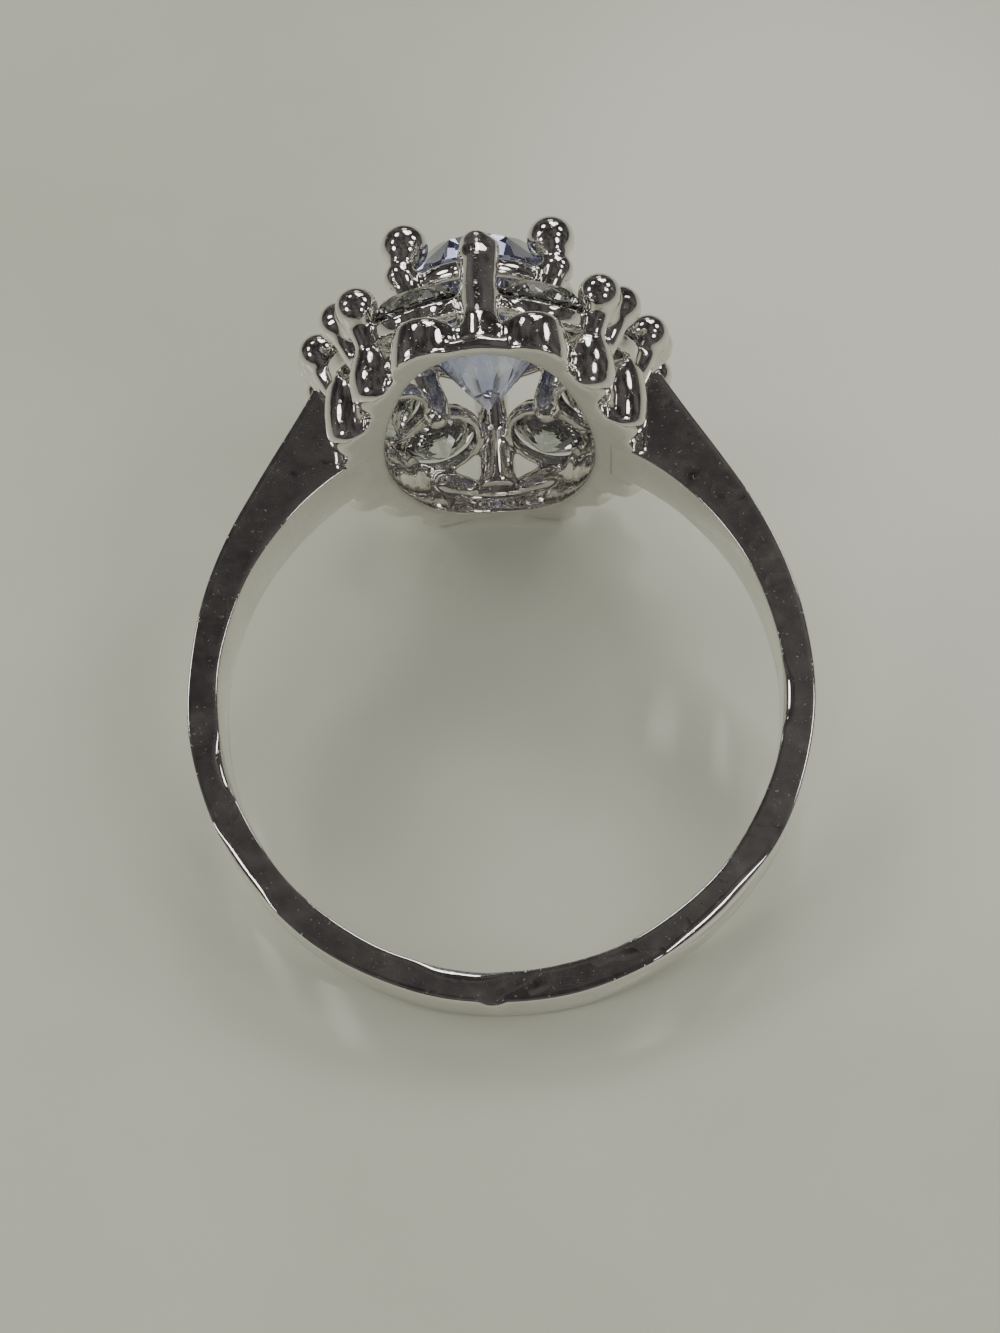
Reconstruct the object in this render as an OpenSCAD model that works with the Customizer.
// Oval cluster ring: a plain tapered shank that widens to shoulders, a scalloped gallery
// open to the finger, ten small round stones and a large oval stone held by six claws.
// Lengths are in millimetres and angles in degrees. The ring is drawn standing, with the
// finger along Y and the head up, and is laid down on its side at the end.

/* [Finger] */
// Radius of the finger hole
bore_r = 8.65; // [8:0.05:9.4]

/* [Shank] */
// Thickness of the band at the back
band_t = 0.97; // [0.8:0.01:1.3]
// Half of the width along the finger at the back
band_half = 1.2; // [1:0.05:1.5]
// Half of the width along the finger at the shoulders
shoulder_half = 1.4; // [1.2:0.05:1.7]
// Distance of the straight shoulder flank from the finger axis
flank_far = 9.96; // [9.8:0.02:10.2]
// Turn of the flank, measured from the side of the ring up to the head
flank_turn = 31.4; // [29:0.1:34]
// Half of the width of the head where the flanks end
shoulder_x = 5.5; // [5.3:0.05:5.8]
// Height of the shoulder top above the finger axis
shoulder_top = 10.35; // [10.1:0.05:10.6]

/* [Gallery] */
// Half of the opening across the finger
open_x = 3.3; // [2.9:0.05:3.4]
// Half of the opening along the finger
open_y = 6.85; // [6.5:0.05:6.9]
// Top of the collar that rests on the finger
collar_top = 9.2; // [9.05:0.05:9.4]
// Height of the top of the scalloped wall
lobe_top = 9.95; // [9.8:0.05:10.1]

/* [Halo stones] */
// Diameter of one small stone
halo_d = 2.75; // [2.6:0.01:2.78]
// Height of the girdle centres of the small stones
halo_girdle = 11.1; // [11.05:0.05:11.2]
// Outward tilt of the small stones
halo_tilt = 25; // [22:1:28]
// Half of the ring of small stones across the finger, to the stone centres
halo_x = 4.1; // [4.05:0.01:4.2]
// Half of the ring of small stones along the finger, to the stone centres
halo_y = 5.95; // [5.9:0.01:6.05]
// Radius of one bead prong
bead_r = 0.48; // [0.4:0.01:0.48]

/* [Centre stone] */
// Width of the centre stone across the finger
centre_w = 6.0; // [5.6:0.05:6.1]
// Length of the centre stone along the finger
centre_l = 8.0; // [7.6:0.05:8.1]
// Height of the girdle of the centre stone
centre_girdle = 13.3; // [13.1:0.05:13.5]
// Depth of the pavilion of the centre stone
centre_pavilion = 3.6; // [3.2:0.05:3.7]
// Height of the crown of the centre stone
centre_crown = 1.5; // [1.2:0.05:1.5]

/* [Claws] */
// Radius of the claw posts
claw_r = 0.44; // [0.38:0.01:0.46]
// Radius of the rounded claw tips
tip_r = 0.68; // [0.55:0.01:0.69]

/* [Hidden] */
$fn = 48;
band_r = bore_r + band_t;
// places of the small stones in one quarter, as turns from the end claw
halo_turns = [28.5, 61.5, 90];
halo_each_side = 5;
halo_count = 2 * halo_each_side;
// places and radii of the scallops in one quarter of the wall
lobe_places = [[1.6, 6.45], [3.12, 4.65], [4.1, 2.55]];
lobe_radii = [1, 0.86, 0.86];
lobe_feet = [7.8, 8.45, 7.95];
wall_x = halo_x - 0.15;
wall_y = halo_y + 1.15;
wall_t = 0.5;
// the collar reaches this far past the wall and is this thick
collar_out = [0.2, 0.35];
collar_t = 0.42;
seat_gap = 0.05;
// outlines of the cut stones, as shares of their size
girdle_t = 0.06;
table_share = 0.6;
star_share = 0.78;
lower_share = 0.24;
halo_r = halo_d / 2;
halo_pavilion = 0.86 * halo_r;
hole_r = 0.88 * halo_r;
halo_crown = 0.32 * halo_r;
centre_a = centre_w / 2;
centre_b = centre_l / 2;
rail_t = 0.6;
rail_z = centre_girdle - 0.3;
// seats and prongs, measured from the girdle of their small stone
seat_bottom = -0.7;
seat_top = -0.14;
prong_bottom = -1.25;
prong_r = 0.35;
prong_turn = 48;
bead_up = 0.46;
// the lying pose: the cups beside the lower end claw and the back of the band touch the ground
touch_y = lobe_places[0][1] + lobe_radii[0];
touch_x = lobe_places[0][0];
touch_z = sqrt(bore_r * bore_r - touch_x * touch_x);
lean = atan((touch_y - band_half) / (touch_z + band_r));
lift = touch_y * cos(lean) - touch_z * sin(lean);
// shift along the ground that centres the lying ring between the back of the band and the claws
claw_turn = 41;
tip_out = 0.42;
tip_up = 0.66;
tip_at = [centre_a * sin(claw_turn), centre_b * cos(claw_turn)];
tip_side = unit([tip_at[0] / pow(centre_a, 2), tip_at[1] / pow(centre_b, 2)]);
reach_back = band_half * sin(lean) + band_r * cos(lean);
reach_tip = (tip_at[1] + tip_out * tip_side[1]) * sin(lean) + (centre_girdle + tip_up) * cos(lean) + tip_r;
shift = (reach_back - reach_tip) / 2;

// turn of a small stone from the end claw, counted from 0 along one side
function halo_turn(k) = k < 3 ? halo_turns[k] : 180 - halo_turns[4 - k];
// point at a turn on an oval of two half sizes, on the right (+1) or left (-1) side
function on_oval(a, b, turn, side) = [side * a * sin(turn), -b * cos(turn)];
function halo_side(i) = i < halo_each_side ? 1 : -1;
function halo_at(i) = on_oval(halo_x, halo_y, halo_turn(i % halo_each_side), halo_side(i));
function unit(v) = v / norm(v);

// lays the standing ring down on its side, resting on the ground
module laid_down() translate([0, shift, lift]) rotate([lean - 90, 0, 0]) children();

// a rod between two points with a ball at its start, a little larger than the rod; its foot
// can be wider than its end
module rod(a, b, r, foot_r = 0) {
    d = b - a;
    translate(a) rotate([0, acos(d[2] / norm(d)), atan2(d[1], d[0])])
        cylinder(r1 = max(r, foot_r), r2 = r, h = norm(d));
    translate(a) sphere(r = 1.04 * r);
}

// an oval outline from two end circles and two large side arcs, half sizes a and b
module oval(a, b) {
    end_r = 0.74 * a;
    c = b - end_r;
    side_r = (end_r * end_r - a * a - c * c) / (2 * (end_r - a));
    join = c * side_r / (side_r - end_r);
    for (s = [-1, 1]) translate([0, s * c]) circle(r = end_r);
    intersection() {
        square([2 * a, 2 * join], center = true);
        translate([a - side_r, 0]) circle(r = side_r);
        translate([side_r - a, 0]) circle(r = side_r);
    }
}

module oval_prism(a, b, low, high) translate([0, 0, low]) linear_extrude(high - low) oval(a, b);

module finger_rod(r, len) rotate([90, 0, 0]) cylinder(r = r, h = len, center = true);

// side outline of the shank: the round back, then an eased curve into each straight flank
module shank_side() {
    ease_turn = 5;
    ease_r = band_r + (flank_far - band_r) / (1 - cos(flank_turn - ease_turn));
    ease_c = -(ease_r - band_r) * [cos(ease_turn), sin(ease_turn)];
    leave = ease_c + ease_r * [cos(flank_turn), sin(flank_turn)];
    flank_z = (flank_far - shoulder_x * cos(flank_turn)) / sin(flank_turn);
    circle(r = band_r);
    for (s = [0, 1]) mirror([s, 0]) {
        intersection() {
            translate(ease_c) circle(r = ease_r);
            polygon([[0, 0], ease_c + 2 * ease_r * [cos(ease_turn), sin(ease_turn)],
                2 * ease_r * [cos(flank_turn - 6), sin(flank_turn - 6)], leave]);
        }
        polygon([[0, 0], leave, [shoulder_x, flank_z], [shoulder_x, shoulder_top], [0, shoulder_top]]);
    }
}

// the shank before the finger hole is cut, a little wider at the head than at the back
module shank() intersection() {
    rotate([90, 0, 0]) linear_extrude(4 * shoulder_half, center = true) shank_side();
    rotate([90, 0, 90]) linear_extrude(4 * band_r, center = true)
        polygon([[-band_half, -band_r - 1], [band_half, -band_r - 1], [band_half, -band_r],
            [shoulder_half, shoulder_top], [shoulder_half, shoulder_top + 1],
            [-shoulder_half, shoulder_top + 1], [-shoulder_half, shoulder_top], [-band_half, -band_r]]);
}

// the scallops that swell from the wall, the same in each quarter
module lobes() for (sx = [-1, 1], sy = [-1, 1], k = [0:len(lobe_places) - 1])
    translate([sx * lobe_places[k][0], sy * lobe_places[k][1], lobe_feet[k]]) {
        cylinder(r = lobe_radii[k], h = lobe_top - lobe_feet[k]);
        translate([0, 0, -0.55]) cylinder(r1 = 0.45, r2 = lobe_radii[k], h = 0.55);
    }

// the collar that follows the finger around the opening
module collar() intersection() {
    oval_prism(wall_x + collar_out[0], wall_y + collar_out[1], 5, lobe_top);
    finger_rod(bore_r + collar_t, 20);
}

// the frame of one small stone: its X points out of the ring of stones, its Z along the cut
module at_stone(i) {
    p = halo_at(i);
    translate([p[0], p[1], halo_girdle])
        rotate([0, 0, atan2(p[1] / pow(halo_y, 2), p[0] / pow(halo_x, 2))]) rotate([0, halo_tilt, 0])
            children();
}

// thin open seats that carry the small stones
module seats() for (i = [0:halo_count - 1])
    at_stone(i) translate([0, 0, seat_bottom]) cylinder(r = halo_r + 0.13, h = seat_top - seat_bottom);

// pockets that follow the pavilions of the small stones
module seat_holes() for (i = [0:halo_count - 1]) at_stone(i) {
    translate([0, 0, -girdle_t - halo_pavilion - seat_gap * 1.5]) cylinder(r1 = 0, r2 = halo_r, h = halo_pavilion);
    translate([0, 0, seat_bottom - 0.3]) cylinder(r = hole_r, h = 0.6);
}

// two bead prongs in the outer notch between neighbouring small stones
module beads() for (i = [0:halo_count - 1], s = [-1, 1])
    if ((i % halo_each_side > 0 || s * halo_side(i) > 0)
        && (i % halo_each_side < halo_each_side - 1 || s * halo_side(i) < 0))
        at_stone(i) rotate([0, 0, s * prong_turn]) {
            translate([halo_r + 0.4, 0, prong_bottom]) cylinder(r1 = 0.7 * prong_r, r2 = prong_r, h = bead_up - prong_bottom);
            translate([halo_r + 0.26, 0, bead_up]) sphere(r = bead_r);
        }

// one claw, from its foot over a knee to the edge of the centre stone, bent over the crown
module claw(turn, side, foot, knee, r, foot_r, ball_r, ball_out, ball_up) {
    edge = on_oval(centre_a, centre_b, turn, side);
    n = unit([edge[0] / pow(centre_a, 2), edge[1] / pow(centre_b, 2)]);
    beside = edge + (r + 0.16) * n;
    over = edge + ball_out * n;
    shoulder = [beside[0], beside[1], centre_girdle - 0.45];
    ball = [over[0], over[1], centre_girdle + ball_up];
    rod(foot, knee, r, foot_r);
    rod(knee, shoulder, r);
    rod(shoulder, ball, r * 0.97);
    translate(shoulder) sphere(r = r + 0.07);
    translate(ball) sphere(r = ball_r);
}

// a heavy claw at each end with a thinner one beside it, and four claws along the sides
module claws() {
    for (s = [-1, 1]) scale([s, s, 1]) {
        claw(0, 1, [0, -6.85, 8], [-0.05, -5.65, 11.4], claw_r + 0.06, 0.8, claw_r + 0.08, 0.58, -0.04);
        rod([0.36, -6.85, 9.6], [0.36, -5.65, 11.6], 0.24);
        rod([0.36, -5.65, 11.6], [0.42, -4.62, 13.2], 0.235);
        translate([0.42, -4.62, 13.2]) sphere(r = 0.3);
    }
    for (side = [-1, 1], turn = [claw_turn, 180 - claw_turn]) {
        s = turn < 90 ? -1 : 1;
        claw(turn, side, [side * 1.84, s * 3.44, 10.95], [side * 1.84, s * 3.44, 11.4],
            claw_r, 0, tip_r, tip_out, tip_up);
    }
}

// the cast metal: everything but the stones
module metal_ring() color("Silver") laid_down() difference() {
    union() {
        difference() {
            union() {
                shank();
                oval_prism(wall_x, wall_y, bore_r - 1.6, lobe_top - 0.35);
                lobes();
                collar();
            }
            oval_prism(wall_x - wall_t, wall_y - wall_t, collar_top, lobe_top + 5);
        }
        seats();
        beads();
        difference() {
            oval_prism(centre_a + 0.25, centre_b + 0.55, rail_z - rail_t, rail_z);
            oval_prism(centre_a - 0.08, centre_b - 0.1, rail_z - 1, rail_z + 1);
        }
        claws();
    }
    finger_rod(bore_r, 30);
    oval_prism(open_x, open_y, 5, collar_top + 0.1);
    seat_holes();
}

// a brilliant cut with 57 facets and a thin girdle, half sizes a and b, girdle at height zero
module brilliant(a, b, crown, pavilion) {
    lean8 = cos(22.5);
    star_z = crown * (1 - star_share * lean8) / (1 - table_share);
    lower_z = -girdle_t - pavilion * (1 - lower_share * lean8);
    function rim(share, turn, z) = [share * a * cos(turn), share * b * sin(turn), z];
    pts = concat(
        [for (i = [0:7]) rim(table_share, 45 * i, crown)],
        [for (i = [0:7]) rim(star_share, 45 * i + 22.5, star_z)],
        [for (i = [0:15]) rim(1, 22.5 * i, 0)],
        [for (i = [0:15]) rim(1, 22.5 * i, -girdle_t)],
        [for (i = [0:7]) rim(lower_share, 45 * i + 22.5, lower_z)],
        [[0, 0, -girdle_t - pavilion]]);
    T = 0; S = 8; G = 16; H = 32; L = 48; C = 56;
    polyhedron(pts, concat(
        [[for (i = [7:-1:0]) T + i]],
        [for (i = [0:7]) [T + i, T + (i + 1) % 8, S + i]],
        [for (i = [0:7]) [T + i, S + i, G + 2 * i, S + (i + 7) % 8]],
        [for (i = [0:7]) [S + i, G + 2 * i + 1, G + 2 * i]],
        [for (i = [0:7]) [S + i, G + (2 * i + 2) % 16, G + 2 * i + 1]],
        [for (i = [0:15]) [G + i, G + (i + 1) % 16, H + (i + 1) % 16, H + i]],
        [for (i = [0:7]) [L + i, H + 2 * i, H + 2 * i + 1]],
        [for (i = [0:7]) [L + i, H + 2 * i + 1, H + (2 * i + 2) % 16]],
        [for (i = [0:7]) [C, L + (i + 7) % 8, H + 2 * i, L + i]]));
}

module centre_stone() color("LightSteelBlue") laid_down() translate([0, 0, centre_girdle])
    brilliant(centre_a, centre_b, centre_crown, centre_pavilion);

module halo_stone(n) color("White") laid_down()
    at_stone(n - 1) brilliant(halo_r, halo_r, halo_crown, halo_pavilion);

metal_ring();
centre_stone();
halo_stone(1);  // halo_stone_01
halo_stone(2);  // halo_stone_02
halo_stone(3);  // halo_stone_03
halo_stone(4);  // halo_stone_04
halo_stone(5);  // halo_stone_05
halo_stone(6);  // halo_stone_06
halo_stone(7);  // halo_stone_07
halo_stone(8);  // halo_stone_08
halo_stone(9);  // halo_stone_09
halo_stone(10);  // halo_stone_10
